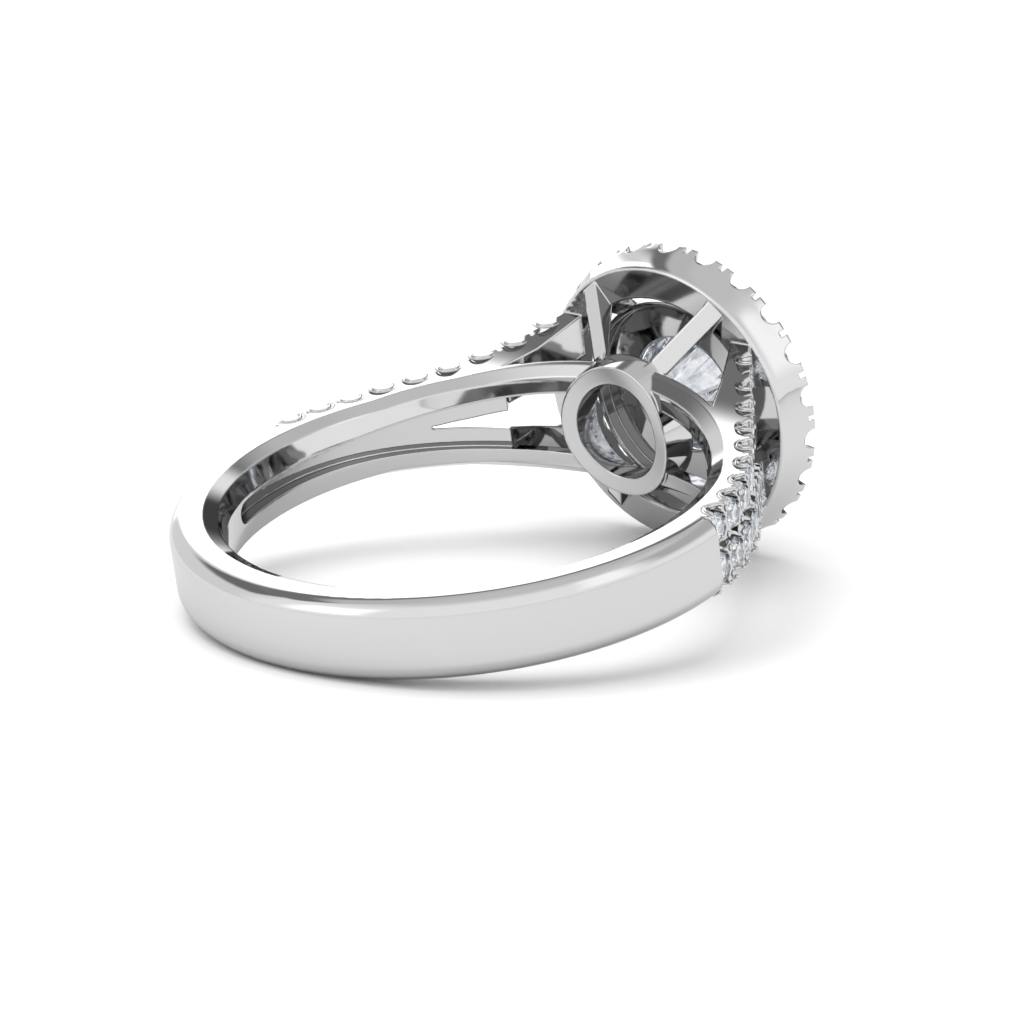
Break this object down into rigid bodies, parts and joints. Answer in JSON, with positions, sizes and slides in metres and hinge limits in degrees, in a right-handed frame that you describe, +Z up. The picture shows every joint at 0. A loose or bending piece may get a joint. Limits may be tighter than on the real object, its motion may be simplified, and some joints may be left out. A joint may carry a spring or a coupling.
{
  "type": "halo ring",
  "caption": "Finger ring with split stone-set shoulders, a raised round halo head on four struts and a round centre stone, lying on its side.",
  "frame": {"origin": "centre of the bounding box's base, on the surface that the ring lies on", "axes": "+X from the band's back towards the head, +Y across the shoulders, +Z up; the finger's axis leans 11.1 degrees from +Z towards -X, because the ring rests on its halo and on the back of its band"},
  "size_m": [0.024, 0.0208, 0.0114],
  "materials": {
    "white_gold": "high polish, rhodium-bright white gold",
    "diamond": "faceted, clear"
  },
  "bodies": {
    "root": {"ring_mount": "white_gold", "centre_stone": "diamond", "left_shoulder_stones": "diamond", "right_shoulder_stones": "diamond", "halo_stone_1": "diamond", "halo_stone_2": "diamond", "halo_stone_3": "diamond", "halo_stone_4": "diamond", "halo_stone_5": "diamond", "halo_stone_6": "diamond", "halo_stone_7": "diamond", "halo_stone_8": "diamond", "halo_stone_9": "diamond", "halo_stone_10": "diamond", "halo_stone_11": "diamond", "halo_stone_12": "diamond", "halo_stone_13": "diamond", "halo_stone_14": "diamond", "halo_stone_15": "diamond", "halo_stone_16": "diamond", "halo_stone_17": "diamond", "halo_stone_18": "diamond", "halo_stone_19": "diamond", "halo_stone_20": "diamond", "halo_stone_21": "diamond", "halo_stone_22": "diamond"}
  },
  "joints": []
}
